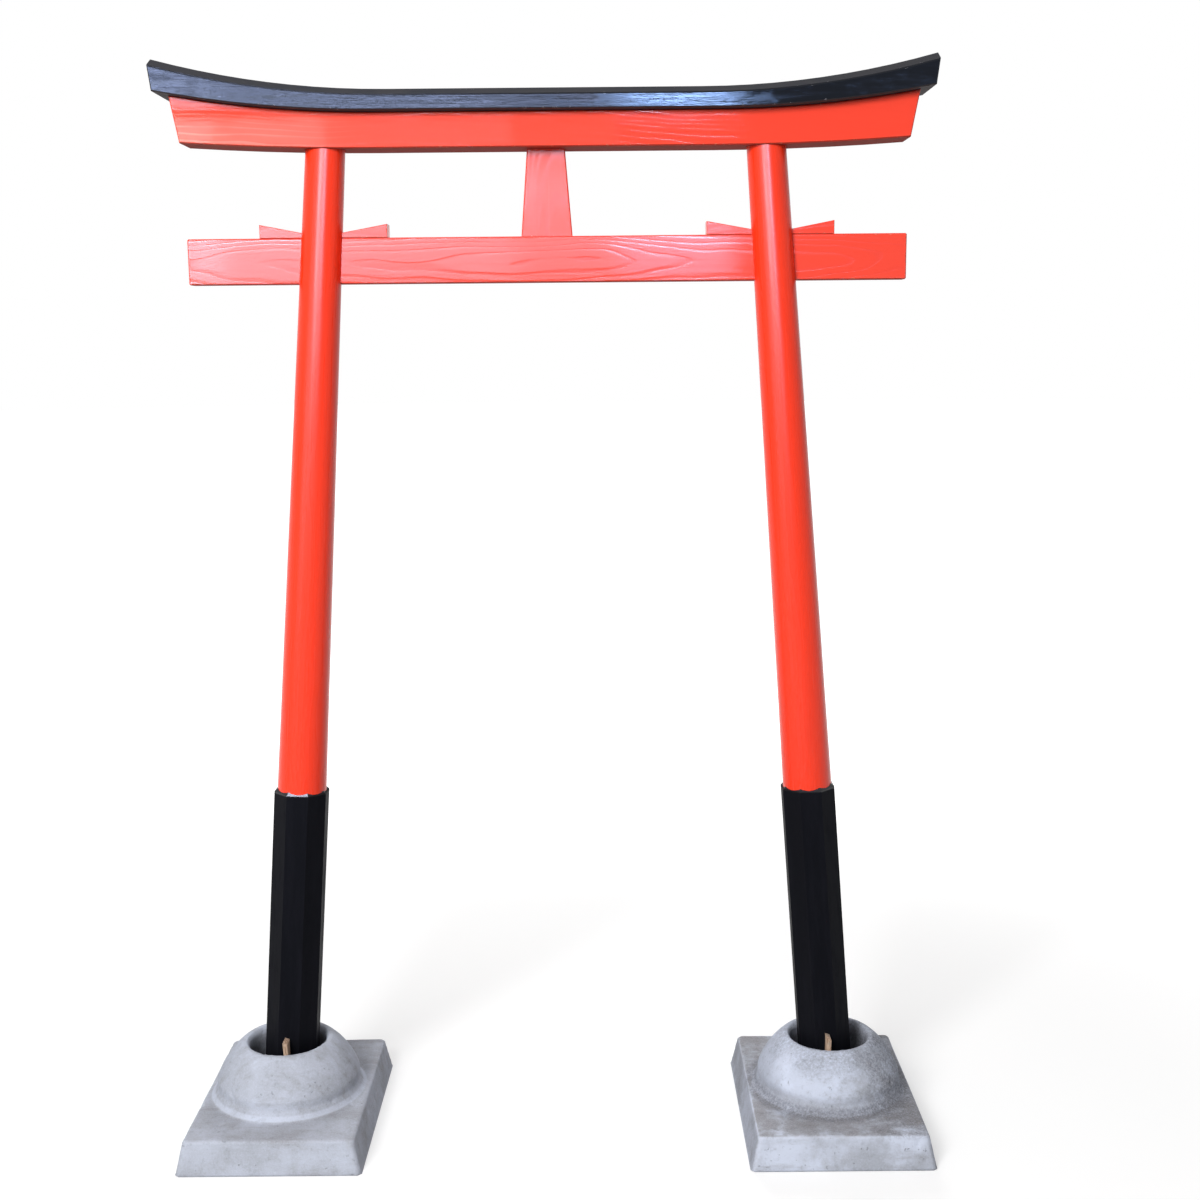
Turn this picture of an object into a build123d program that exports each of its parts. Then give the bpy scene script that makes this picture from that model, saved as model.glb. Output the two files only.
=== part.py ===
from build123d import *
import os
from math import cos, degrees, pi, sqrt

os.makedirs("parts", exist_ok=True)

# Shared fits
fit = 0.3
overrun = 20.0

# Posts: round, tapered, leaning towards each other
overall_height = 1500.0
post_foot_spacing = 793.0
post_head_spacing = 591.0
post_shoulder_diameter = 69.0
post_head_diameter = 53.0
post_spigot_diameter = 56.0
post_shoulder_depth = 24.0
post_housing_depth = 6.0

# Foot sleeves: eight flat sides and a bevelled top
sleeve_top_height = 500.0
sleeve_across_flats = 73.0
sleeve_sides = 8
sleeve_bevel_run_in = 1.5

# Base blocks: battered slab, dome and hole
base_width = 258.0
base_depth = 344.0
base_slab_height = 48.0
base_batter = 12.0
base_corner_bevel = 5.0
base_edge_bevel = 3.0
dome_diameter = 216.0
dome_crest_height = 125.0
dome_foot_bevel = 5.0
dome_lip_width = 10.0
dome_lip_bevel = 3.5
dome_lip_drop = 6.0
hole_diameter = 110.0
hole_floor_height = 25.0

# Pegs in the gaps between sleeves and holes
peg_width = 7.5
peg_top_height = 142.5
peg_tip_height = 52.0
peg_tip_thickness = 6.0

# Kasagi: the cap beam
kasagi_top_length = 1036.5
kasagi_bottom_length = 1025.0
kasagi_depth = 96.0
kasagi_thickness = 30.0
kasagi_end_thickness = 44.0
kasagi_tip_rise = 40.0
kasagi_top_level_length = 420.0
kasagi_bottom_level_length = 460.0
kasagi_bevel_width = 27.0
kasagi_bevel_drop = 11.0

# Shimaki: the lintel under it
shimaki_top_length = 990.0
shimaki_bottom_length = 967.0
shimaki_depth = 60.0
shimaki_height = 46.0
shimaki_tip_rise = 8.5
shimaki_bottom_level_length = 460.0

# Nuki: the tie beam, set back behind the middle of the posts, and the wedges on it
nuki_length = 972.0
nuki_depth = 27.0
nuki_height = 61.0
nuki_top_drop = 114.0
nuki_setback = 10.0
beam_arris = 1.5
wedge_outer_reach = 84.0
wedge_inner_reach = 88.5
wedge_end_height = 18.0
wedge_tip_height = 3.0
wedge_tip_gap = 6.0
wedge_arris = 0.8

# Gakuzuka: the strut between tie beam and lintel
strut_top_width = 51.0
strut_bottom_width = 69.0
strut_depth = 24.0

# Levels that follow from the sizes above
kasagi_top = overall_height - kasagi_tip_rise
kasagi_bottom = kasagi_top - kasagi_thickness
kasagi_bottom_rise = overall_height - kasagi_end_thickness - kasagi_bottom
shimaki_top = kasagi_bottom - fit
shimaki_bottom = shimaki_top - shimaki_height
nuki_top = shimaki_bottom - nuki_top_drop
nuki_bottom = nuki_top - nuki_height
nuki_front = nuki_setback - nuki_depth / 2
post_top = shimaki_bottom + post_housing_depth
hole_rim_height = dome_crest_height - dome_lip_drop

# Lean of the post axis, from the floor of the hole to the underside of the lintel
post_rise = shimaki_bottom - hole_floor_height
post_run = (post_foot_spacing - post_head_spacing) / 2
post_length = sqrt(post_rise**2 + post_run**2)
lean_cosine = post_rise / post_length
lean_sine = post_run / post_length
sleeve_length = (sleeve_top_height - hole_floor_height) / lean_cosine
sleeve_half = sleeve_across_flats / 2

# Upright plane through the middle of the tie beam
nuki_plane = Plane.XZ.offset(-nuki_setback)


def axis_offset(height):
    """Distance of a post's axis from the middle of the gate at a height."""
    return post_foot_spacing / 2 - post_run * (height - hole_floor_height) / post_rise


def post_radius(distance):
    """Radius of a post at a distance along its axis from the floor of the hole."""
    taper = (post_shoulder_diameter - post_head_diameter) / 2 / (post_length - sleeve_length)
    return post_shoulder_diameter / 2 - taper * (distance - sleeve_length)


def swept_rise(run, full_run, full_rise):
    """Rise, at a distance from its level start, of an arc that reaches full_rise at full_run."""
    radius = (full_run**2 + full_rise**2) / (2 * full_rise)
    return radius - sqrt(radius**2 - run**2)


def foot_plane(side):
    """Plane across a post's axis on the floor of the hole; side is -1 on the left, 1 on the right."""
    return Plane(
        origin=(side * post_foot_spacing / 2, 0, hole_floor_height),
        x_dir=(lean_cosine, 0, side * lean_sine),
        z_dir=(-side * lean_sine, 0, lean_cosine),
    )


def base_plane(side, height=0.0):
    """Level plane over the middle of a base block."""
    return Plane(origin=(side * post_foot_spacing / 2, 0, height))


def post_blank(side, grow):
    """Turned post with its shoulder and spigot, grown by a clearance, cut level at head and foot."""
    across = foot_plane(side)
    outline_plane = Plane(origin=across.origin, x_dir=across.x_dir, z_dir=(0, -1, 0))
    shoulder = sleeve_length - post_shoulder_depth
    top = post_length + overrun
    with BuildPart() as blank:
        with BuildSketch(outline_plane):
            with BuildLine():
                Polyline(
                    (0, -overrun),
                    (post_spigot_diameter / 2 + grow, -overrun),
                    (post_spigot_diameter / 2 + grow, shoulder - grow),
                    (post_radius(shoulder) + grow, shoulder - grow),
                    (post_radius(top) + grow, top),
                    (0, top),
                    close=True,
                )
            make_face()
        revolve(axis=Axis(across.origin, across.z_dir))
        split(bisect_by=Plane.XY.offset(post_top + grow), keep=Keep.BOTTOM)
        split(bisect_by=Plane.XY.offset(hole_floor_height), keep=Keep.TOP)
    return blank.part


def turned_post(side):
    """Post with the notch, open behind, that takes the tie beam and the tips of its two wedges."""
    shaft = post_blank(side, 0)
    face_distance = post_radius((nuki_top - hole_floor_height) / lean_cosine)
    floor = nuki_bottom - fit
    ceiling = nuki_top + wedge_height(face_distance, wedge_outer_reach) + fit
    front = nuki_front - fit
    back = face_distance + overrun
    with BuildPart() as post:
        add(shaft)
        with BuildSketch(Plane.YZ):
            with Locations(((front + back) / 2, (floor + ceiling) / 2)):
                Rectangle(back - front, ceiling - floor)
        extrude(amount=nuki_length / 2, both=True, mode=Mode.SUBTRACT)
    return post.part


def foot_sleeve(side):
    """Eight-sided sleeve whose bevelled top dies into the round post in scallops."""
    bore = post_blank(side, fit)
    across = foot_plane(side)
    bevel = sleeve_half - post_shoulder_diameter / 2 * cos(pi / sleeve_sides) + sleeve_bevel_run_in
    with BuildPart() as sleeve:
        with BuildSketch(across.offset(-overrun)):
            RegularPolygon(sleeve_half, sleeve_sides, major_radius=False, rotation=degrees(pi / sleeve_sides))
        extrude(amount=sleeve_length + bevel + overrun)
        chamfer(sleeve.faces().sort_by(Axis.Z)[-1].edges(), length=bevel)
        split(bisect_by=Plane.XY.offset(hole_floor_height), keep=Keep.TOP)
        add(bore, mode=Mode.SUBTRACT)
    return sleeve.part


def base_block(side):
    """Cast block: slab with battered sides, and a spherical dome with a lipped hole for the post's foot."""
    dome_radius = dome_diameter / 2
    hole_radius = hole_diameter / 2
    foot_height = base_slab_height + dome_foot_bevel
    crest_radius = hole_radius + dome_lip_width
    crest_rise = dome_crest_height - foot_height
    centre_rise = (crest_radius**2 + crest_rise**2 - dome_radius**2) / (2 * crest_rise)
    sphere_radius = sqrt(dome_radius**2 + centre_rise**2)
    with BuildPart() as block:
        with BuildSketch(base_plane(side)):
            Rectangle(base_width, base_depth)
        extrude(amount=base_slab_height, taper=base_batter)
        chamfer(block.edges().group_by(Axis.Z)[1], length=base_corner_bevel)
        chamfer(block.faces().sort_by(Axis.Z)[-1].edges(), length=base_edge_bevel)
        with BuildSketch(base_plane(side, hole_floor_height)):
            Circle(hole_radius)
        extrude(amount=base_slab_height, mode=Mode.SUBTRACT)
        with BuildSketch(Plane(origin=base_plane(side).origin, x_dir=(1, 0, 0), z_dir=(0, -1, 0))):
            with BuildLine():
                Polyline(
                    (dome_radius, foot_height),
                    (dome_radius + dome_foot_bevel, base_slab_height),
                    (dome_radius + dome_foot_bevel, hole_floor_height),
                    (hole_radius, hole_floor_height),
                    (hole_radius, hole_rim_height),
                    (hole_radius + dome_lip_bevel, dome_crest_height),
                    (crest_radius, dome_crest_height),
                )
                RadiusArc((dome_radius, foot_height), (crest_radius, dome_crest_height), -sphere_radius)
            make_face()
        revolve(axis=Axis(base_plane(side).origin, (0, 0, 1)))
    return block.part


def peg(side, face):
    """Tapered peg between the flat of a sleeve and the wall of the hole; face is -1 in front, 1 behind."""
    hole_radius = hole_diameter / 2
    middle = axis_offset(hole_rim_height)
    chord = post_foot_spacing / 2 - middle + peg_width / 2
    near = sleeve_half + fit
    far_at_rim = sqrt(hole_radius**2 - chord**2) - fit
    spread = (far_at_rim - near - peg_tip_thickness) / (hole_rim_height - peg_tip_height)
    top_thickness = peg_tip_thickness + spread * (peg_top_height - peg_tip_height)
    with BuildPart() as wedge:
        with BuildSketch(Plane.YZ.offset(side * middle)):
            with BuildLine():
                Polyline(
                    (face * near, peg_tip_height),
                    (face * (near + peg_tip_thickness), peg_tip_height),
                    (face * (near + top_thickness), peg_top_height),
                    (face * near, peg_top_height),
                    close=True,
                )
            make_face()
        extrude(amount=peg_width / 2, both=True)
    return wedge.part


def wedge_height(distance, reach):
    """Height of a tie beam wedge at a distance from the post's axis."""
    rise_share = (distance - wedge_tip_gap) / (reach - wedge_tip_gap)
    return wedge_tip_height + (wedge_end_height - wedge_tip_height) * rise_share


def beam_wedge(side, outward, reach):
    """Wedge on top of the tie beam with its tip in the post; outward is 1 away from the gateway."""
    middle = side * axis_offset(nuki_top)
    direction = side * outward
    with BuildPart() as wedge:
        with BuildSketch(nuki_plane):
            with BuildLine():
                Polyline(
                    (middle + direction * wedge_tip_gap, nuki_top),
                    (middle + direction * reach, nuki_top),
                    (middle + direction * reach, nuki_top + wedge_end_height),
                    (middle + direction * wedge_tip_gap, nuki_top + wedge_tip_height),
                    close=True,
                )
            make_face()
        extrude(amount=nuki_depth / 2, both=True)
        for broad_side in wedge.faces().filter_by(Axis.Y):
            chamfer(broad_side.edges(), length=wedge_arris)
    return wedge.part


# Kasagi: level in the middle, swept up to both tips, thicker towards its ends
top_level = kasagi_top_level_length / 2
bottom_level = kasagi_bottom_level_length / 2
top_half = kasagi_top_length / 2
bottom_half = kasagi_bottom_length / 2
with BuildPart() as kasagi:
    with BuildSketch(Plane.XZ):
        with BuildLine():
            Line((0, kasagi_bottom), (bottom_level, kasagi_bottom))
            TangentArc(
                (bottom_level, kasagi_bottom), (bottom_half, kasagi_bottom + kasagi_bottom_rise), tangent=(1, 0)
            )
            Line((bottom_half, kasagi_bottom + kasagi_bottom_rise), (top_half, overall_height))
            TangentArc((top_level, kasagi_top), (top_half, overall_height), tangent=(1, 0))
            Polyline((top_level, kasagi_top), (0, kasagi_top), (0, kasagi_bottom))
        make_face()
        mirror(about=Plane.YZ)
    extrude(amount=kasagi_depth / 2, both=True)
    for broad_side in kasagi.faces().filter_by(Axis.Y):
        long_edges = broad_side.edges().filter_by(lambda e: e.length > kasagi_depth)
        crest = long_edges.filter_by(lambda e: e.center().Z > kasagi_top - fit)
        chamfer(crest, length=kasagi_bevel_drop, length2=kasagi_bevel_width, reference=broad_side)
    for broad_side in kasagi.faces().filter_by(Axis.Y):
        chamfer(broad_side.edges(), length=beam_arris)

# Shimaki: its top follows the underside of the cap beam, and the post heads are let into it
lintel_top_half = shimaki_top_length / 2
lintel_bottom_half = shimaki_bottom_length / 2
lintel_level = shimaki_bottom_level_length / 2
lintel_end_top = shimaki_top + swept_rise(
    lintel_top_half - bottom_level, bottom_half - bottom_level, kasagi_bottom_rise
)
lintel_end_bottom = shimaki_bottom + shimaki_tip_rise
post_heads = [post_blank(side, fit) for side in (-1, 1)]
with BuildPart() as shimaki:
    with BuildSketch(Plane.XZ):
        with BuildLine():
            Line((0, shimaki_bottom), (lintel_level, shimaki_bottom))
            TangentArc((lintel_level, shimaki_bottom), (lintel_bottom_half, lintel_end_bottom), tangent=(1, 0))
            Line((lintel_bottom_half, lintel_end_bottom), (lintel_top_half, lintel_end_top))
            TangentArc((bottom_level, shimaki_top), (lintel_top_half, lintel_end_top), tangent=(1, 0))
            Polyline((bottom_level, shimaki_top), (0, shimaki_top), (0, shimaki_bottom))
        make_face()
        mirror(about=Plane.YZ)
    extrude(amount=shimaki_depth / 2, both=True)
    for broad_side in shimaki.faces().filter_by(Axis.Y):
        chamfer(broad_side.edges(), length=beam_arris)
    add(post_heads, mode=Mode.SUBTRACT)

# Nuki: a straight bar with eased edges
with BuildPart() as nuki:
    with BuildSketch(Plane.YZ):
        with Locations((nuki_setback, nuki_top - nuki_height / 2)):
            Rectangle(nuki_depth, nuki_height)
    extrude(amount=nuki_length / 2, both=True)
    chamfer(nuki.edges(), length=beam_arris)

# Gakuzuka: a board between the tie beam and the lintel, wider at its foot
with BuildPart() as gakuzuka:
    with BuildSketch(nuki_plane):
        with BuildLine():
            Polyline(
                (-strut_bottom_width / 2, nuki_top),
                (strut_bottom_width / 2, nuki_top),
                (strut_top_width / 2, shimaki_bottom),
                (-strut_top_width / 2, shimaki_bottom),
                close=True,
            )
        make_face()
    extrude(amount=strut_depth / 2, both=True)
    sides = gakuzuka.edges().filter_by(lambda e: e.length > strut_top_width and abs(e.tangent_at(0).Z) > 0)
    chamfer(sides, length=beam_arris)

# Every piece under its own name
pieces = {
    "kasagi_cap_beam": kasagi.part,
    "shimaki_lintel": shimaki.part,
    "nuki_tie_beam": nuki.part,
    "gakuzuka_strut": gakuzuka.part,
}
for side_name, side in (("left", -1), ("right", 1)):
    pieces[f"{side_name}_post"] = turned_post(side)
    pieces[f"{side_name}_foot_sleeve"] = foot_sleeve(side)
    pieces[f"{side_name}_base_block"] = base_block(side)
    pieces[f"{side_name}_front_peg"] = peg(side, -1)
    pieces[f"{side_name}_back_peg"] = peg(side, 1)
    pieces[f"{side_name}_outer_wedge"] = beam_wedge(side, 1, wedge_outer_reach)
    pieces[f"{side_name}_inner_wedge"] = beam_wedge(side, -1, wedge_inner_reach)

for name, piece in pieces.items():
    piece.label = name
    export_step(piece, f"parts/{name}.step")
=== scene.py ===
# %% [markdown]
# # Dressing a small torii gate
# The gate is a garden shrine gate: two leaning round posts in black eight-sided sleeves, a tie beam with
# four wedges, a strut, a red lintel and a black swept cap beam, all standing in two domed concrete
# blocks. Its solids are already modelled to size, so this lesson loads them, photographs them and gives
# every surface its finish.

# %% Load the solids
import math

import bmesh
import bpy
from mathutils import Matrix, Vector, noise


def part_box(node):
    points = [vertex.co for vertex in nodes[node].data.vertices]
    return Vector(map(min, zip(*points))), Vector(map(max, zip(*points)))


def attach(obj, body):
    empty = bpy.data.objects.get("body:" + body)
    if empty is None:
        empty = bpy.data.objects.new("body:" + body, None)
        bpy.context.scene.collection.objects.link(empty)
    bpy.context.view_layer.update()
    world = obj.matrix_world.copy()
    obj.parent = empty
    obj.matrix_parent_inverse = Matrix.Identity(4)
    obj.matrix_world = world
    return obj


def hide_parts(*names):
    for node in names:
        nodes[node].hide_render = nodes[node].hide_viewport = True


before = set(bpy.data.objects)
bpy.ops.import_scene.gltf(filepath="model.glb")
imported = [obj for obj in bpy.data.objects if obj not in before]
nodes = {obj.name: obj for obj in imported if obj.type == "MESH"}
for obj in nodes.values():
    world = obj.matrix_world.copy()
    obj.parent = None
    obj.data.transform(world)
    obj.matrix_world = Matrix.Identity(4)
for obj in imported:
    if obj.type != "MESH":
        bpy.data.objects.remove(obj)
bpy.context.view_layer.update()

scene = bpy.context.scene

# %% [markdown]
# ## The camera
# The photo was taken from a little right of the middle, at chest height and tipped down. A camera can be
# aimed by eye, but a few known sizes pin it down better: the posts, the beam ends and the corners of the
# blocks give its distance, its height and its tilt. The small roll comes from a camera held by hand.

# %% Place the camera
lens_mm = 47.08
camera_place = Vector((0.0672, -2.1729, 1.1225))
camera_tilt = math.radians(90 - 9.19)
camera_roll = math.radians(-0.51)

camera = bpy.data.objects.new("camera", bpy.data.cameras.new("camera"))
camera.data.lens = lens_mm
aim = Matrix.Rotation(camera_tilt, 4, "X") @ Matrix.Rotation(camera_roll, 4, "Z")
camera.matrix_world = Matrix.Translation(camera_place) @ aim
scene.collection.objects.link(camera)
scene.camera = camera
scene.view_settings.view_transform = "Standard"
print("camera at", tuple(round(part, 3) for part in camera_place))

# %% [markdown]
# ## A shorthand for shader maths
# A material is a graph of nodes, and a long graph is hard to read as calls that add nodes and links. This
# class wraps one socket. A sum or product of wires adds the Math node for it, and one method adds every
# other kind of node.


# %% Wires
class Wire:
    """One socket in a node tree. Sums written with wires become Math nodes."""

    def __init__(self, tree, socket=None):
        self.tree = tree
        self.socket = socket

    def node(self, kind, settings, sockets, result=0):
        """Adds a node: its settings first, then the values or links of its sockets."""
        made = self.tree.nodes.new("ShaderNode" + kind)
        for name, value in settings.items():
            setattr(made, name, value)
        for name, value in sockets.items():
            socket = next(entry for entry in made.inputs if entry.identifier == name)
            if isinstance(value, Wire):
                self.tree.links.new(value.socket, socket)
            else:
                socket.default_value = value
        return Wire(self.tree, made.outputs[result] if made.outputs else None)

    def math(self, operation, first, second):
        """A Math node on two wires or numbers."""
        return self.node("Math", {"operation": operation}, {"Value": first, "Value_001": second})

    def __add__(self, other):
        return self.math("ADD", self, other)

    def __radd__(self, other):
        return self.math("ADD", other, self)

    def __sub__(self, other):
        return self.math("SUBTRACT", self, other)

    def __rsub__(self, other):
        return self.math("SUBTRACT", other, self)

    def __mul__(self, other):
        return self.math("MULTIPLY", self, other)

    def __rmul__(self, other):
        return self.math("MULTIPLY", other, self)


print("wires ready")

# %% [markdown]
# ## Words for the finishes
# Wires alone still spell everything out. A few short functions give names to what every finish is made
# of: soft steps, layers of colour, distances and the place on the gate. All of them could be node groups,
# but functions are easier to read and to change.


# %% Words made of wires
def largest(first, *others):
    """The largest of several wires."""
    for other in others:
        first = first.math("MAXIMUM", first, other)
    return first


def ramp(value, low, high):
    """0 below low, 1 above high and a soft step between; low may be the larger one."""
    return value.node("MapRange", {"interpolation_type": "SMOOTHSTEP"},
                      {"Value": value, "From Min": low, "From Max": high})


def layered(colour, *coats):
    """A colour under coats, each a mask and the colour that shows where the mask is 1."""
    for mask, coat in coats:
        colour = mask.node("Mix", {"data_type": "RGBA"},
                           {"Factor_Float": mask, "A_Color": colour, "B_Color": coat}, result=2)
    return colour


def length_of(vector):
    """How long a vector is."""
    return vector.node("VectorMath", {"operation": "LENGTH"}, {"Vector": vector}, result="Value")


def gate_place(start):
    """Where a point lies on the gate, in metres."""
    return start.node("TexCoord", {}, {}, result="Object")


def new_finish(name):
    """An empty material and a wire to build it from."""
    finish = bpy.data.materials.new(name)
    finish.use_nodes = True
    finish.node_tree.nodes.clear()
    return finish, Wire(finish.node_tree)


print("words ready")

# %% [markdown]
# ## The floor and the white room
# The gate stands alone on white. A floor that is only lit would turn grey far away, so near the gate the
# floor is a real pale floor that takes the shadow, and further out it fades into the white that the
# camera sees in the sky. The lamps don't have to be turned up for that: rays from the camera, and mirror
# rays, see white, and other rays see a dim room, which fills the shadows. To those other rays the floor
# is a darker grey, so that little light comes up from it.

# %% Make the floor and the sky
floor_radius = 30.0
floor_sides = 96
floor_seen = 0.60
floor_bounce = 0.30
near_glow = 0.45
fade_start = 0.8
fade_end = 2.8
room_light = 0.38
white = (1.0, 1.0, 1.0, 1.0)


def grey(level):
    """A grey of a given brightness."""
    return (level, level, level, 1.0)


def seen_directly(start):
    """1 for rays from the camera and for mirror and glass rays, 0 for rays that gather light."""
    kinds = ("Camera", "Glossy", "Transmission")
    return largest(*(start.node("LightPath", {}, {}, result=f"Is {kind} Ray") for kind in kinds))


def new_piece(name, work):
    """A linked object from a finished bmesh."""
    piece = bpy.data.objects.new(name, bpy.data.meshes.new(name))
    work.to_mesh(piece.data)
    work.free()
    scene.collection.objects.link(piece)
    return piece


disc = bmesh.new()
bmesh.ops.create_circle(disc, cap_ends=True, segments=floor_sides, radius=floor_radius)
floor = new_piece("floor", disc)

floor_finish, start = new_finish("pale_floor")
direct = seen_directly(start)
fade = ramp(length_of(gate_place(start)), fade_start, fade_end)
lit = start.node("BsdfDiffuse", {}, {"Color": layered(grey(floor_bounce), (direct, grey(floor_seen)))})
glow = direct * (near_glow + (1 - near_glow) * fade)
shine = start.node("Emission", {}, {"Color": white, "Strength": glow})
both = start.node("AddShader", {}, {"Shader": lit, "Shader_001": shine})
start.node("OutputMaterial", {}, {"Surface": both})
floor.data.materials.append(floor_finish)

world = bpy.data.worlds.new("white_room")
world.use_nodes = True
world.node_tree.nodes.clear()
start = Wire(world.node_tree)
direct = seen_directly(start)
sky = start.node("Background", {}, {"Color": white, "Strength": direct + (1 - direct) * room_light})
start.node("OutputWorld", {}, {"Surface": sky})
scene.world = world
print("floor radius:", floor_radius)

# %% [markdown]
# ## The window
# The photo's light is a barred window behind the camera, most of it to the left. It does two things. It
# lights the gate softly from the left, and one large lamp does that, with a weak one behind. And its
# mirror image lies on the fronts of the beams: a pale veil on the left, and a blue glare right of the
# middle, where its brightest panes are. One rectangle stands for each pane, hangs where its mirror image
# has to be, and is seen by mirror rays alone. The second row is paler than the others, and the last
# column is the bluest. A dim side wall shows on the left flanks of the posts, and a skylight shines on
# the left sleeve.

# %% Hang the window
window_distance = 3.05
daylight = (0.76, 0.80, 1.0)
pale_day = (0.95, 0.97, 1.0)
blue_sky = (0.52, 0.70, 1.0)
pane_columns = ((-1.45, -1.15), (-1.15, -0.80), (-0.80, -0.20), (-0.20, 0.14), (0.14, 0.515))
pane_rows = (
    (1.88, 2.06, daylight, (34.0, 24.5, 29.5, 21.5, 118.0)),
    (1.75, 1.85, pale_day, (25.0, 14.0, 6.0, 2.4, 0.1)),
    (1.57, 1.71, daylight, (75.0, 75.0, 31.0, 12.5, 92.0)),
    (1.30, 1.56, daylight, (27.0, 16.5, 13.0, 9.0, 15.0)),
)
upright = (math.radians(90), 0, 0)


def lamp(name, place, turn, size, radiance, colour, mirrored):
    """A lit rectangle with a given brightness; unturned, it shines straight down."""
    light = bpy.data.lights.new(name, "AREA")
    light.shape = "RECTANGLE"
    light.size, light.size_y = size
    light.energy = radiance * math.pi * light.size * light.size_y
    light.color = colour
    pane = bpy.data.objects.new(name, light)
    pane.location = place
    pane.rotation_euler = turn
    pane.visible_camera = False
    pane.visible_diffuse = not mirrored
    pane.visible_glossy = mirrored
    scene.collection.objects.link(pane)


for low, high, colour, row in pane_rows:
    tints = (colour,) * (len(pane_columns) - 1) + (blue_sky,)
    for (left, right), radiance, tint in zip(pane_columns, row, tints):
        middle = ((left + right) / 2, -window_distance, (low + high) / 2)
        lamp(f"pane_{left}_{low}", middle, upright, (right - left, high - low), radiance, tint, True)
print("panes:", len(pane_rows) * len(pane_columns))

# %% Hang the other lamps
side_wall_place = (-2.9, -window_distance, 1.2)
side_wall_size = (2.4, 1.6)
side_wall_radiance = 3.2
skylight_place = (-0.60, -0.78, 3.0)
skylight_size = (0.7, 0.3)
skylight_radiance = 60.0
face_down = (0, 0, 0)
soft_lamps = (("key", Vector((-1.3, -2.9, 2.3)), 24.0), ("back_fill", Vector((0.0, 3.2, 1.8)), 9.0))
soft_size = (1.3, 1.3)
gate_middle = Vector((0.0, 0.0, 0.7))

lamp("side_wall", side_wall_place, upright, side_wall_size, side_wall_radiance, daylight, True)
lamp("skylight", skylight_place, face_down, skylight_size, skylight_radiance, daylight, True)
for name, place, radiance in soft_lamps:
    turn = (gate_middle - place).to_track_quat("-Z", "Y").to_euler()
    lamp(name, place, turn, soft_size, radiance, white[:3], False)

# %% [markdown]
# ## Tools for worn pieces
# Blocks and pegs start from their solids, because those already have the right size. A copy of a solid is
# merged first, since the solid's mesh is loose triangles. Wear is then a depth that depends on the place:
# every point sinks in along its normal, and none may leave the solid's box.

# %% Wear helpers
merge_distance = 1e-5
sides = {"left": -1, "right": 1}
pieces = {}


def copy_of(node, name):
    """A merged copy of a solid's mesh as a piece of its own."""
    work = bmesh.new()
    work.from_mesh(nodes[node].data)
    bmesh.ops.remove_doubles(work, verts=work.verts, dist=merge_distance)
    bmesh.ops.recalc_face_normals(work, faces=work.faces)
    return new_piece(name, work)


def settle(piece):
    """Makes what the modifiers show the piece's own mesh."""
    seen = piece.evaluated_get(bpy.context.evaluated_depsgraph_get())
    mesh = bpy.data.meshes.new_from_object(seen)
    piece.modifiers.clear()
    piece.data = mesh


def bumps(place):
    """Smooth noise from 0 to 1."""
    return 0.5 + 0.5 * noise.noise(place)


def sink(piece, node, depth_at):
    """Moves every point inwards by a depth that depends on its place, and keeps it in the solid's box."""
    low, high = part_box(node)
    work = bmesh.new()
    work.from_mesh(piece.data)
    bmesh.ops.recalc_face_normals(work, faces=work.faces)
    work.normal_update()
    moved = [(point, point.co - point.normal * depth_at(point.co)) for point in work.verts]
    for point, place in moved:
        point.co = [min(max(at, least), most) for at, least, most in zip(place, low, high)]
    for face in work.faces:
        face.smooth = True
    work.to_mesh(piece.data)
    work.free()


def dressed(piece, node):
    """Puts a finished piece in the place of its solid."""
    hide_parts(node)
    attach(piece, "root")
    pieces[node] = piece


print("wear helpers ready")

# %% [markdown]
# ## Weathered blocks
# Cast concrete loses its sharp arrises first, and its skin is pitted and slightly wavy. A cube could be
# sculpted by hand, but the solid already has the right size: its copy gets an even skin of small faces,
# is rubbed smooth and then sinks in a little. A shallow cove runs round the foot of the dome.

# %% Wear the blocks
skin_size = 0.0025
rub_rounds = 2
rub_strength = 0.5
waves_per_metre = 16
wave_depth = 0.0010
sand_per_metre = 120
sand_depth = 0.0003
pits_per_metre = 75
pit_depth = 0.006
pit_threshold = 0.55
cove_height = 0.062
cove_reach = 0.011
cove_depth = 0.0028


def concrete_wear(place):
    """Shallow waves, a sandy skin, scattered pits and the cove, in metres; the underside stays flat."""
    if place.z <= skin_size:
        return 0.0
    pits = max(0.0, noise.noise(place * pits_per_metre) - pit_threshold)
    cove = max(0.0, 1 - abs(place.z - cove_height) / cove_reach)
    waves = wave_depth * bumps(place * waves_per_metre)
    sand = sand_depth * bumps(place * sand_per_metre)
    return waves + sand + pit_depth * pits + cove_depth * cove


for side in sides:
    node = f"{side}_base_block"
    block = copy_of(node, f"{side}_worn_block")
    skin = block.modifiers.new("even_skin", "REMESH")
    skin.mode = "VOXEL"
    skin.voxel_size = skin_size
    rub = block.modifiers.new("rubbed_edges", "SMOOTH")
    rub.factor = rub_strength
    rub.iterations = rub_rounds
    settle(block)
    sink(block, node, concrete_wear)
    dressed(block, node)
    print(node, "points:", len(block.data.vertices))

# %% [markdown]
# ## Turned posts
# A facetted post breaks a long highlight into stripes. Its shading alone could be smoothed, but the notch
# for the tie beam would smear it. So the posts are turned again: half of their outline is spun round the
# axis in many steps, leaned over and cut level at both ends, and then a box cuts the notch. Where a size
# can be read from the solids it is, and the others are the ones that the solids were made with.

# %% Measure the posts
spigot_radius = 0.028
shoulder_radius = 0.0345
head_radius = 0.0265
head_offset = 0.2955
shoulder_depth = 0.024
sleeve_top = 0.5
overrun = 0.02
block_low, block_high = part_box("right_base_block")
post_low, post_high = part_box("right_post")
lintel_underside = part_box("shimaki_lintel")[0].z

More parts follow.
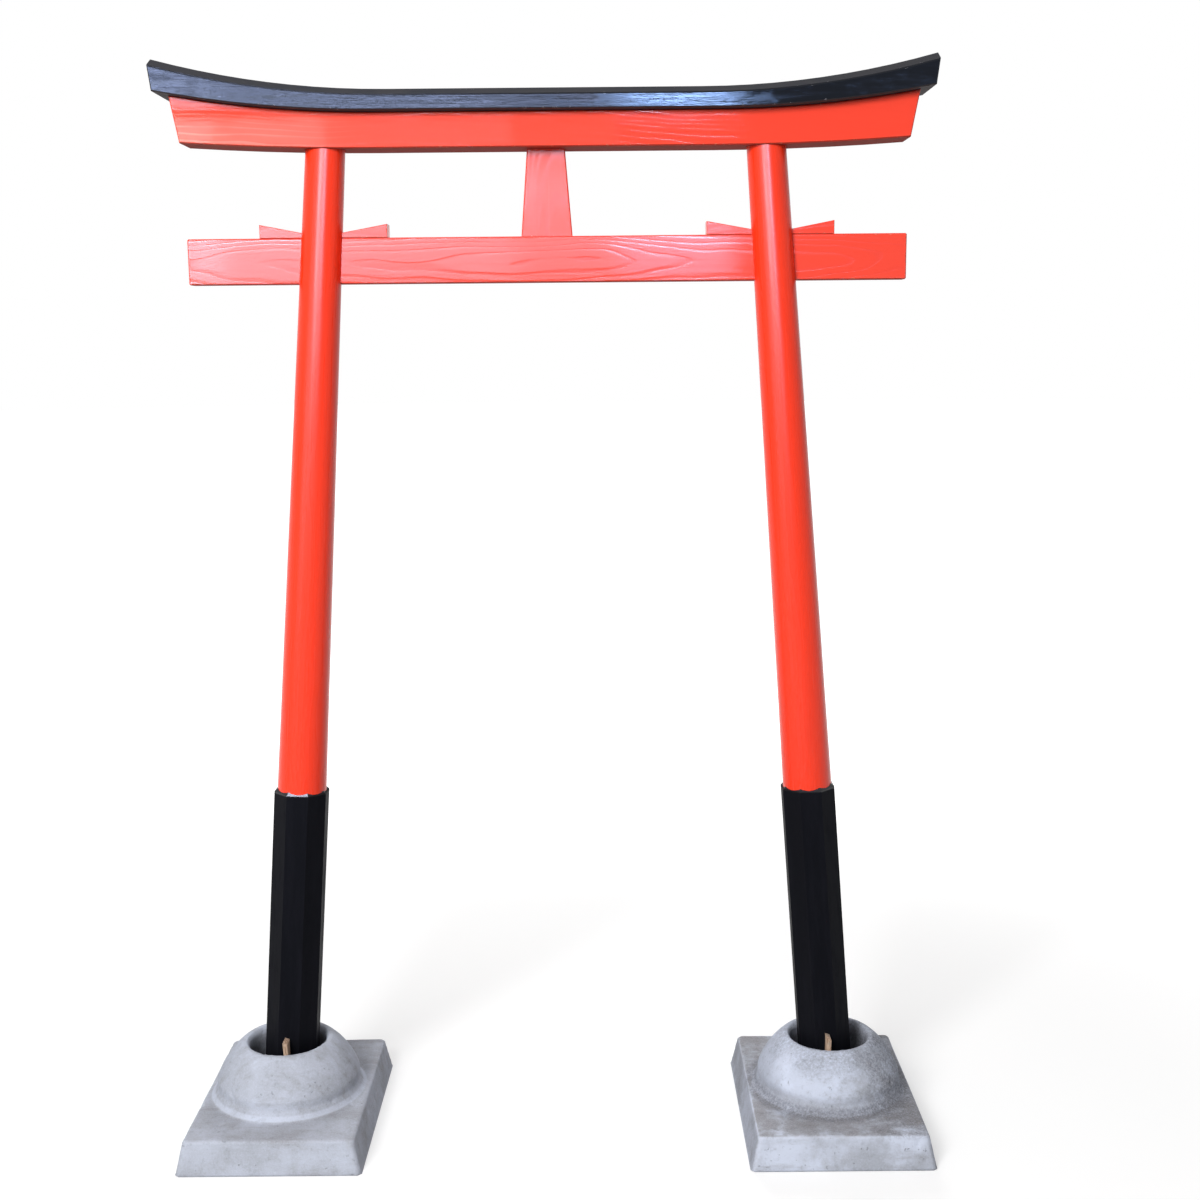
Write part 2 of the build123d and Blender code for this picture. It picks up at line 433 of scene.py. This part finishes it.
post_foot = (block_low.x + block_high.x) / 2
post_run = post_foot - head_offset
post_rise = lintel_underside - post_low.z
lean = math.atan(post_run / post_rise)
post_length = math.hypot(post_run, post_rise)
sleeve_length = (sleeve_top - post_low.z) / math.cos(lean)
taper = (shoulder_radius - head_radius) / (post_length - sleeve_length)


def post_radius(distance):
    """Radius of a post at a distance along its axis from the floor of the hole."""
    return shoulder_radius - taper * (distance - sleeve_length)


shoulder = sleeve_length - shoulder_depth
crown = post_length + overrun
post_outline = (
    (0, -overrun),
    (spigot_radius, -overrun),
    (spigot_radius, shoulder),
    (post_radius(shoulder), shoulder),
    (post_radius(crown), crown),
    (0, crown),
)
print("lean in degrees:", round(math.degrees(lean), 2))

# %% Turn the posts
spin_steps = 96
smooth_below = math.radians(25)
fit = 0.0003
wedge_room = 0.0071
notch_reach = 0.2
notch_back = 0.1
nuki_low, nuki_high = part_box("nuki_tie_beam")
notch_low = Vector((-notch_reach, nuki_low.y - fit, nuki_low.z - fit))
notch_high = Vector((notch_reach, notch_back, nuki_high.z + wedge_room + fit))


def turned_post(name, sign):
    """The outline spun round the axis, leaned over and cut level at both ends."""
    work = bmesh.new()
    points = [work.verts.new((radius, 0, height)) for radius, height in post_outline]
    line = [work.edges.new(pair) for pair in zip(points, points[1:])]
    bmesh.ops.spin(work, geom=points + line, cent=(0, 0, 0), axis=(0, 0, 1), angle=math.tau,
                   steps=spin_steps, use_merge=True)
    bmesh.ops.remove_doubles(work, verts=work.verts, dist=merge_distance)
    stand = Matrix.Translation((sign * post_foot, 0, post_low.z)) @ Matrix.Rotation(-sign * lean, 4, "Y")
    bmesh.ops.transform(work, matrix=stand, verts=work.verts)
    for level, up in ((post_low.z, -1), (post_high.z, 1)):
        everything = list(work.verts) + list(work.edges) + list(work.faces)
        cut = bmesh.ops.bisect_plane(work, geom=everything, plane_co=(0, 0, level), plane_no=(0, 0, up),
                                     clear_outer=True)["geom_cut"]
        bmesh.ops.edgeloop_fill(work, edges=[part for part in cut if isinstance(part, bmesh.types.BMEdge)])
    bmesh.ops.recalc_face_normals(work, faces=work.faces)
    return new_piece(name, work)


def cut_notch(post, sign):
    """Cuts the notch, open behind, for the tie beam and the tips of its wedges."""
    work = bmesh.new()
    bmesh.ops.create_cube(work, size=1.0)
    bmesh.ops.scale(work, vec=notch_high - notch_low, verts=work.verts)
    notch_middle = (notch_low + notch_high) / 2 + Vector((sign * post_foot, 0, 0))
    bmesh.ops.translate(work, vec=notch_middle, verts=work.verts)
    cutter = new_piece("notch_cutter", work)
    notch = post.modifiers.new("notch", "BOOLEAN")
    notch.operation = "DIFFERENCE"
    notch.solver = "EXACT"
    notch.object = cutter
    settle(post)
    bpy.data.objects.remove(cutter)


for side, sign in sides.items():
    post = turned_post(f"{side}_turned_post", sign)
    cut_notch(post, sign)
    for face in post.data.polygons:
        face.use_smooth = True
    post.data.set_sharp_from_angle(angle=smooth_below)
    dressed(post, f"{side}_post")
    print(post.name, "faces:", len(post.data.polygons))

# %% [markdown]
# ## Split pegs
# The pegs were split from a stick, so their sides are uneven and their tops aren't quite level. A new
# stick could be carved, but the solid already stands in its place. So each peg starts as its solid, with
# its arrises broken by a small bevel. It is cut into short lengths, its top is slanted, and its sides
# sink in along the grain.

# %% Split the pegs
peg_faces = ("front", "back")
peg_arris = 0.0009
peg_cuts = 9
peg_slant = 0.35
peg_reach = 0.005
peg_half = 0.045
peg_hollow = 0.0009
splits_across = 260
splits_along = 22
flat_angle = 0.01
long_edge = 0.05


def split_wear(place):
    """Long shallow hollows between the splits, in metres."""
    stretched = Vector((place.x * splits_across, place.y * splits_across, place.z * splits_along))
    return peg_hollow * bumps(stretched)


def split(stick):
    """Breaks a peg's arrises, cuts it into short lengths and slants its top down to one side."""
    work = bmesh.new()
    work.from_mesh(stick.data)
    inner = [edge for edge in work.edges if len(edge.link_faces) == 2]
    flat = [edge for edge in inner if edge.calc_face_angle() < flat_angle]
    bmesh.ops.dissolve_edges(work, edges=flat, use_verts=True)
    bmesh.ops.bevel(work, geom=list(work.edges), offset=peg_arris, offset_type="OFFSET", segments=2,
                    profile=0.5, affect="EDGES", material=-1)
    long_edges = [edge for edge in work.edges if abs(edge.verts[0].co.z - edge.verts[1].co.z) > long_edge]
    bmesh.ops.subdivide_edges(work, edges=long_edges, cuts=peg_cuts, use_grid_fill=True)
    middle = sum((point.co for point in work.verts), Vector()) / len(work.verts)
    for point in work.verts:
        upper_share = max(0.0, point.co.z - middle.z) / peg_half
        point.co.z -= peg_slant * (point.co.x - middle.x + peg_reach) * upper_share
    bmesh.ops.recalc_face_normals(work, faces=work.faces)
    work.to_mesh(stick.data)
    work.free()


for side in sides:
    for face in peg_faces:
        node = f"{side}_{face}_peg"
        stick = copy_of(node, f"{side}_{face}_split_peg")
        split(stick)
        sink(stick, node, split_wear)
        dressed(stick, node)
print("pieces made here:", len(pieces))

# %% [markdown]
# ## Tools for the finishes
# All the finishes are patterns in the gate's own coordinates, so nothing slides when a piece moves. They
# could be painted pictures, but noise needs no unwrapping and is as sharp close up. Worn paint and painted
# edge highlights need to know where the edges are. Every finish needs to know which way its surface
# faces, because undersides stay dull, tops gather dust and some faces get painted shade.


# %% Finish helpers
def speckle(spot, scale, detail=3.0, roughness=0.5):
    """Cloudy noise from 0 to 1, with cells about 1 / scale across."""
    return spot.node("TexNoise", {},
                     {"Vector": spot, "Scale": scale, "Detail": detail, "Roughness": roughness})


def turned(spot, turn=(0, 0, 0), stretch=(1, 1, 1), shift=(0, 0, 0)):
    """Coordinates turned and stretched, so that a pattern runs along a piece."""
    return spot.node("Mapping", {}, {"Vector": spot, "Rotation": turn, "Scale": stretch, "Location": shift})


def part_of(vector, axis):
    """One component of a vector."""
    return vector.node("SeparateXYZ", {}, {"Vector": vector}, result="XYZ".index(axis))


def facing(start, axis):
    """How far the surface faces along an axis, from -1 to 1."""
    return part_of(start.node("NewGeometry", {}, {}, result="Normal"), axis)


def worn_and_highlit_edges(start, reach):
    """1 on edges and corners and 0 on flats: where a rounded normal differs from the real one."""
    real = start.node("NewGeometry", {}, {}, result="Normal")
    rounded = start.node("Bevel", {"samples": 6}, {"Radius": reach})
    match = start.node("VectorMath", {"operation": "DOT_PRODUCT"}, {"Vector": real, "Vector_001": rounded},
                       result="Value")
    return ramp(match, 0.99, 0.88)


def cover(start, relief, depth, sockets):
    """The shader of a finish; the relief, times the depth in metres, becomes bump."""
    bump = start.node("Bump", {}, {"Strength": 1.0, "Distance": depth, "Height": relief}, result="Normal")
    shader = start.node("BsdfPrincipled", {}, {"Normal": bump, **sockets})
    start.node("OutputMaterial", {}, {"Surface": shader})


finishes = {}
print("finish helpers ready")

# %% [markdown]
# ## Wood grain
# A sawn board shows its growth rings as long lines, because the saw cuts them at a slant. A wave texture
# would give even stripes, so the rings are distances from a heart line instead, bent a little by noise
# and repeated by a saw tooth. The grain runs along the piece: beams lie, the strut stands and the posts
# lean.


# %% Grow the wood
def rings(along, pith, slope, spacing):
    """Growth rings as a saw leaves them: each dark line is soft on one side and sharp on the other."""
    bent = turned(along, stretch=(slope, 1, 1), shift=pith)
    wave = speckle(turned(along, stretch=(4, 14, 14)), 1.0, 2.0) - 0.5
    wander = 5 * spacing
    far = length_of(bent) + wave * wander
    phase = far.math("FRACT", far * (1 / spacing), 0)
    return ramp(phase, 0.55, 0.92) * ramp(phase, 1.0, 0.93)


def fibres(along):
    """Long thin streaks along the wood, from 0 to 1."""
    return speckle(turned(along, stretch=(5, 220, 220)), 1.0, 4.0, 0.6)


lying = (0, 0, 0)
standing = (0, math.pi / 2, 0)
leaning = {side: (0, math.pi / 2 + sign * lean, 0) for side, sign in sides.items()}
print("ways of the grain:", 2 + len(leaning))

# %% [markdown]
# ## Vermilion paint
# The red is a thin coat, so the grain of the board still stands in its surface, and the gloss is broken
# by it more than the colour is. The coat is thicker towards the left, where the grain stands out less.
# Each kind of piece gets its own board: another heart, ring spacing and run of the grain. Tops and
# undersides are dull, and undersides are painted brown as shade. Edges are a little pale, partly rubbed
# and partly a painted highlight, chips show the wood, and the left end of the lintel has pale lines,
# partly bleached grain and partly a painted reflection of the window.

# %% Mix the red paint
vermilion = (0.90, 0.060, 0.031, 1)
post_vermilion = (0.95, 0.036, 0.005, 1)
deep_vermilion = (0.72, 0.034, 0.014, 1)
# pale streaks of the grain; along edges partly rubbed paint and partly a painted highlight
streak_and_edge_highlight_vermilion = (0.94, 0.16, 0.10, 1)
# pale lines at the left end: partly bleached grain, partly a painted reflection of the window
paleness_and_reflection_vermilion = (0.95, 0.44, 0.36, 1)
# painted shade for the undersides
underside_shade_brown = (0.17, 0.028, 0.016, 1)
bare_wood = (0.50, 0.30, 0.19, 1)
# reach of the edge mask, for wear and for painted edge highlights
edge_wear_and_highlight_width = 0.004


def red_paint(name, turn, pith, slope, spacing, gloss, grain, relief, specular,
              tone=vermilion, paleness_and_reflection=0.0):
    """Paint along the turned X; pale lines fade from the left end, part bleached grain, part painted
    reflection.
    """
    finish, start = new_finish(name)
    place = gate_place(start)
    along = turned(place, turn=turn)
    lines = rings(along, pith, slope, spacing)
    streaks = fibres(along)
    clouds = speckle(turned(along, stretch=(5, 14, 14)), 1.0, 3.0)
    edge = worn_and_highlit_edges(start, edge_wear_and_highlight_width)
    above = ramp(facing(start, "Z"), 0.55, 0.8)
    below = ramp(facing(start, "Z"), -0.55, -0.8)
    chip = ramp(edge * speckle(place, 190.0, 3.0, 0.6), 0.60, 0.66)
    # pale lines fading from the left end: partly bleached grain, partly a painted reflection
    bleach_and_reflection = ramp(part_of(place, "X"), -0.22, -0.46) * ramp(clouds, 0.30, 0.62) * paleness_and_reflection
    thin_coat = 1 - 0.55 * ramp(part_of(place, "X"), -0.10, -0.36)
    colour = layered(
        tone,
        (lines * grain, deep_vermilion),
        (ramp(streaks, 0.56, 0.8) * grain, streak_and_edge_highlight_vermilion),
        (ramp(clouds, 0.45, 0.2) * 0.30, deep_vermilion),
        (bleach_and_reflection * (0.25 + 0.75 * lines), paleness_and_reflection_vermilion),
        # edges a little pale: partly rubbed paint, partly a painted highlight
        (edge * ramp(streaks, 0.35, 0.65) * 0.30, streak_and_edge_highlight_vermilion),
        (above * 0.35, deep_vermilion),
        # painted shade: undersides turn brown
        (below * 0.9, underside_shade_brown),
        (chip, bare_wood),
    )
    rough = gloss + grain * (0.7 * lines + 0.5 * streaks) + 0.02 * clouds
    rough = largest(rough, above * 0.7, below * 0.75, chip * 0.85)
    cover(start, (streaks * 0.25 - lines * 0.3) * thin_coat - chip * 0.8, relief,
          {"Base Color": colour, "Roughness": rough, "Specular IOR Level": specular})
    return finish


print("red paint mixed")

# %% Paint the red pieces
finishes["shimaki_lintel"] = red_paint(
    "red_shimaki", lying, pith=(0.05, -0.05, -1.330), slope=0.10, spacing=0.0050,
    gloss=0.015, grain=0.03, relief=0.00003, specular=0.10, paleness_and_reflection=0.42)
finishes["nuki_tie_beam"] = red_paint(
    "red_nuki", lying, pith=(0.004, -0.06, -1.234), slope=0.07, spacing=0.0026,
    gloss=0.03, grain=0.16, relief=0.00024, specular=0.25)
finishes["gakuzuka_strut"] = red_paint(
    "red_strut", standing, pith=(0.02, -0.05, 0.030), slope=0.04, spacing=0.0030,
    gloss=0.06, grain=0.15, relief=0.00006, specular=0.25)
for side, sign in sides.items():
    finishes[f"{side}_post"] = red_paint(
        f"red_{side}_post", leaning[side], pith=(0.06, 0.03, -0.45 * sign), slope=0.04, spacing=0.0120,
        gloss=0.25, grain=0.05, relief=0.00002, specular=0.35, tone=post_vermilion)
    for end in ("outer", "inner"):
        finishes[f"{side}_{end}_wedge"] = red_paint(
            f"red_{side}_{end}_wedge", lying, pith=(0.01, -0.05, -1.29), slope=0.06, spacing=0.0030,
            gloss=0.06, grain=0.18, relief=0.00012, specular=0.22)
print("red finishes:", len(finishes))

# %% [markdown]
# ## Black lacquer
# The cap beam is brushed black and catches the window, so it looks blue-grey on the left and black on the
# right. A plain glossy black would look like plastic, so brush strokes break up both its colour and its
# gloss. Its top gathers brown dust, and its underside is dull and a paler brown-grey. The sleeves have
# nearly the same colour with hardly any gloss, but the paint has run thick along their bevelled tops and
# shines there. On both, the edges are a little paler, partly worn and partly a painted highlight.

# %% Lacquer the black pieces
lacquer = (0.0035, 0.004, 0.006, 1)
# brush strokes, and along edges partly wear and partly a painted highlight
faded_and_edge_highlight_lacquer = (0.007, 0.008, 0.012, 1)
sleeve_black = (0.0045, 0.0045, 0.006, 1)
sleeve_grey = (0.009, 0.009, 0.012, 1)
top_dust = (0.016, 0.014, 0.014, 1)
# undersides are a paler brown-grey
underside_brown_grey = (0.028, 0.022, 0.020, 1)
paint_fleck = (0.55, 0.52, 0.55, 1)
lacquer_tint = (0.65, 0.76, 1, 1)
above_the_gate = 9.0
wet_rim = 0.001
wet_fade = 0.002


def black_paint(name, turn, tone, faded_and_edge_highlight, gloss, relief, specular, flecks, wet_from):
    """Brushed lacquer along the turned X axis; above the wet height the paint lies thick and shines."""
    finish, start = new_finish(name)
    place = gate_place(start)
    along = turned(place, turn=turn)
    streaks = fibres(along)
    strokes = speckle(turned(along, stretch=(7, 60, 60)), 1.0, 5.0, 0.7)
    brushed = ramp(strokes, 0.42, 0.75)
    scuffs = speckle(turned(along, stretch=(30, 160, 70)), 1.0, 4.0, 0.65)
    edge = worn_and_highlit_edges(start, edge_wear_and_highlight_width)
    wet = ramp(part_of(place, "Z"), wet_from, wet_from + wet_fade)
    above = ramp(facing(start, "Z"), 0.45, 0.75) * (1 - wet)
    below = ramp(facing(start, "Z"), -0.45, -0.75)
    chip = ramp(edge * speckle(place, 120.0, 2.0, 0.5), 0.66, 0.70) * flecks
    colour = layered(
        tone,
        (brushed * 0.6, faded_and_edge_highlight),
        # edges a little paler: partly worn, partly a painted highlight
        (edge * ramp(streaks, 0.4, 0.7) * 0.5, faded_and_edge_highlight),
        (above * ramp(speckle(along, 14.0, 4.0, 0.6), 0.2, 0.6), top_dust),
        # undersides turn a paler brown-grey
        (below, underside_brown_grey),
        (chip * ramp(facing(start, "Y"), -0.5, -0.9), paint_fleck),
    )
    rough = gloss + 0.17 * brushed + 0.12 * ramp(scuffs, 0.48, 0.70)
    rough = largest(rough, above * 0.7, below * 0.75)
    cover(start, strokes * 0.7 + streaks * 0.3 - chip * 0.6, relief,
          {"Base Color": colour, "Roughness": rough, "Specular IOR Level": specular,
           "Specular Tint": lacquer_tint, "Coat Weight": wet * 0.6, "Coat Roughness": 0.22})
    return finish


finishes["kasagi_cap_beam"] = black_paint(
    "black_kasagi", lying, lacquer, faded_and_edge_highlight_lacquer,
    gloss=0.04, relief=0.0003, specular=0.195, flecks=1.0, wet_from=above_the_gate)
for side in sides:
    finishes[f"{side}_foot_sleeve"] = black_paint(
        f"black_{side}_sleeve", leaning[side], sleeve_black, sleeve_grey,
        gloss=0.50, relief=0.0003, specular=0.04, flecks=0.0, wet_from=sleeve_top - wet_rim)
print("finishes so far:", len(finishes))

# %% [markdown]
# ## Concrete
# Old concrete is a grey that never stays one grey: pale lime clouds, brown stains and streaks where water
# stood and ran, and a gritty dark rim. Noise of several sizes makes the clouds. The height and the
# distance from the dome's axis tell where rim, lip, foot and slab are. Light and shade are painted in
# too: the dome is painted lighter on its left and darker on its right, the left faces get painted shade,
# a painted shadow runs round the dome's foot, and pale painted highlights run along the edges, the
# hole's lip and the dome's foot. The right block is blotchier than the left one, so the stains and the
# painted light and shade have a strength, and what the left one has instead are paler painted
# highlights on its lip and seam. Down in the hole it is darker.


# %% Find the places on a block
def block_marks(start, middle, patches, mottle):
    """Masks of a block's places, from radius and height in metres; noise frays some of their borders."""
    place = gate_place(start)
    radius = length_of(turned(place, shift=(-middle, 0, 0), stretch=(1, 1, 0)))
    height = part_of(place, "Z")
    rightwards = part_of(place, "X") - middle
    ragged = radius + (mottle - 0.5) * 0.03
    frayed = radius + (patches - 0.5) * 0.06
    return {
        "slab_top": ramp(facing(start, "Z"), 0.75, 0.95) * ramp(height, 0.055, 0.050),
        # painted shade: the faces turned to the left
        "shaded_left_face": ramp(facing(start, "X"), -0.6, -0.9),
        # painted highlight: a pale ring along the dome's foot
        "seam": ramp(height, 0.0480, 0.0495) * ramp(height, 0.0560, 0.0530) * ramp(radius, 0.117, 0.114),
        # painted shadow: a dark ring in the crease round the dome's foot
        "foot": ramp(height, 0.063, 0.053) * ramp(ragged, 0.130, 0.112) * ramp(height, 0.040, 0.046),
        # painted shade: the dome's right side, away from the key lamp
        "shaded": ramp(rightwards + (patches - 0.5) * 0.20, 0.01, 0.10) * ramp(height, 0.040, 0.050),
        # painted light: the dome's left side, towards the key lamp, made paler
        "lit_side": ramp(rightwards + (mottle - 0.5) * 0.16, 0.05, -0.03) * ramp(height, 0.060, 0.075),
        "rim": ramp(frayed, 0.100, 0.070) * ramp(height, 0.085, 0.105),
        # painted highlight: a pale ring on the hole's lip
        "lip": ramp(radius, 0.062, 0.0585) * ramp(height, 0.112, 0.118),
        "hole": ramp(radius, 0.058, 0.0545) * ramp(height, 0.118, 0.100),
    }


print("places on a block known")

# %% Mix the concrete
cement = (0.40, 0.42, 0.475, 1)
# pale lime clouds and sand, and also the painted highlights
pale_lime_and_highlight = (0.66, 0.71, 0.84, 1)
# painted light for the dome's left side
painted_light_lime = (0.74, 0.81, 0.98, 1)
stain = (0.20, 0.18, 0.165, 1)
# gritty weathering, and also painted shade and painted shadow
weathered_and_shade_grey = (0.125, 0.125, 0.14, 1)
hole_dark_grey = (0.06, 0.06, 0.07, 1)
# reach of the painted edge highlight
edge_highlight_width = 0.006
concrete_relief = 0.0007
block_looks = {"left": (0.1, (0.31, 0.12, 0.4)), "right": (0.9, (1.7, 0.6, 0.2))}


def concrete(name, middle, stain_and_shading_strength, shift):
    """Concrete round an axis at X; the strength sets stains and painted light and shade; shift moves the
    clouds.
    """
    finish, start = new_finish(name)
    place = gate_place(start)
    moved = turned(place, shift=shift)
    sand = speckle(place, 420.0, 2.0, 0.7)
    grit = speckle(moved, 280.0, 4.0, 0.75)
    mottle = speckle(moved, 110.0, 5.0, 0.72)
    patches = speckle(moved, 26.0, 5.0, 0.65)
    clouds = speckle(moved, 11.0, 5.0, 0.62)
    dribble = speckle(turned(moved, stretch=(9, 70, 45)), 1.0, 5.0, 0.65)
    pores = ramp(speckle(place, 160.0, 2.0, 0.5), 0.30, 0.26)
    edge = worn_and_highlit_edges(start, edge_highlight_width)
    marks = block_marks(start, middle, patches, mottle)
    colour = layered(
        cement,
        (ramp(clouds, 0.34, 0.62) * (0.25 + 0.72 * stain_and_shading_strength), pale_lime_and_highlight),
        (ramp(patches, 0.48, 0.74) * 0.32, stain),
        (ramp(dribble, 0.50, 0.72) * 0.35, stain),
        (ramp(dribble, 0.46, 0.28) * 0.25, pale_lime_and_highlight),
        # painted light on the dome's left side
        (marks["lit_side"] * stain_and_shading_strength * 0.55, painted_light_lime),
        (marks["slab_top"] * (0.16 + 0.55 * stain_and_shading_strength) * ramp(patches, 0.28, 0.55), stain),
        (marks["rim"] * stain_and_shading_strength * ramp(grit, 0.15, 0.80) * 0.75, weathered_and_shade_grey),
        # painted shade on the dome's right side
        (marks["shaded"] * stain_and_shading_strength * ramp(grit, 0.25, 0.70) * 0.95, weathered_and_shade_grey),
        # painted highlights on the lip and along the dome's foot
        ((marks["seam"] + marks["lip"]) * (1 - stain_and_shading_strength) * 0.45, pale_lime_and_highlight),
        # painted shadow round the dome's foot
        (marks["foot"] * stain_and_shading_strength * ramp(grit, 0.05, 0.70) * 0.85, weathered_and_shade_grey),
        # painted shade on the left faces
        (marks["shaded_left_face"] * stain_and_shading_strength * 0.45, weathered_and_shade_grey),
        # painted highlight along the edges
        (edge * ramp(patches, 0.40, 0.60) * 0.5, pale_lime_and_highlight),
        (pores * 0.35, weathered_and_shade_grey),
        # darker down in the hole
        (marks["hole"] * 0.85, hole_dark_grey),
        (ramp(mottle, 0.52, 0.70) * 0.22, weathered_and_shade_grey),
        (ramp(sand, 0.40, 0.75) * 0.22, pale_lime_and_highlight),
    )
    cover(start, sand * 0.6 + patches * 0.5 - pores * 0.8, concrete_relief,
          {"Base Color": colour, "Roughness": 0.78 + 0.16 * sand, "Specular IOR Level": 0.2})
    return finish


for side, (stain_and_shading_strength, shift) in block_looks.items():
    finishes[f"{side}_base_block"] = concrete(f"concrete_{side}", sides[side] * post_foot, stain_and_shading_strength, shift)
print("finishes so far:", len(finishes))

# %% [markdown]
# ## Raw wood
# The pegs are bare softwood, pale on the split faces and grey where the weather got at them. Growth rings
# would be too coarse on a stick this thin, so fine streaks along the peg do most of the work, and down in
# the hole the wood is dark.

# %% Colour the pegs
pale_wood = (0.56, 0.40, 0.29, 1)
dark_wood = (0.27, 0.17, 0.11, 1)
grey_wood = (0.36, 0.32, 0.28, 1)
peg_relief = 0.0006

peg_wood, start = new_finish("raw_peg_wood")
place = gate_place(start)
streaks = speckle(turned(turned(place, turn=standing), stretch=(18, 480, 480)), 1.0, 4.0, 0.6)
colour = layered(
    pale_wood,
    (ramp(streaks, 0.42, 0.66), dark_wood),
    (ramp(speckle(place, 70.0, 3.0), 0.5, 0.7) * 0.6, grey_wood),
    (ramp(part_of(place, "Z"), 0.112, 0.085) * 0.7, dark_wood),
)
cover(start, streaks, peg_relief,
      {"Base Color": colour, "Roughness": 0.62 + 0.25 * streaks, "Specular IOR Level": 0.2})
for side in sides:
    for face in peg_faces:
        finishes[f"{side}_{face}_peg"] = peg_wood
print("finishes:", len(finishes))

# %% [markdown]
# ## Dressing
# Every finish goes to one piece, except that the four pegs share theirs. Where a piece was made here it
# takes the finish, and elsewhere the solid itself does, in the material slot that it came with.

# %% Dress every piece
for node, finish in finishes.items():
    target = pieces.get(node, nodes[node])
    if not target.material_slots:
        target.data.materials.append(finish)
    for slot in target.material_slots:
        slot.material = finish
print("dressed:", len(finishes), "of", len(nodes))
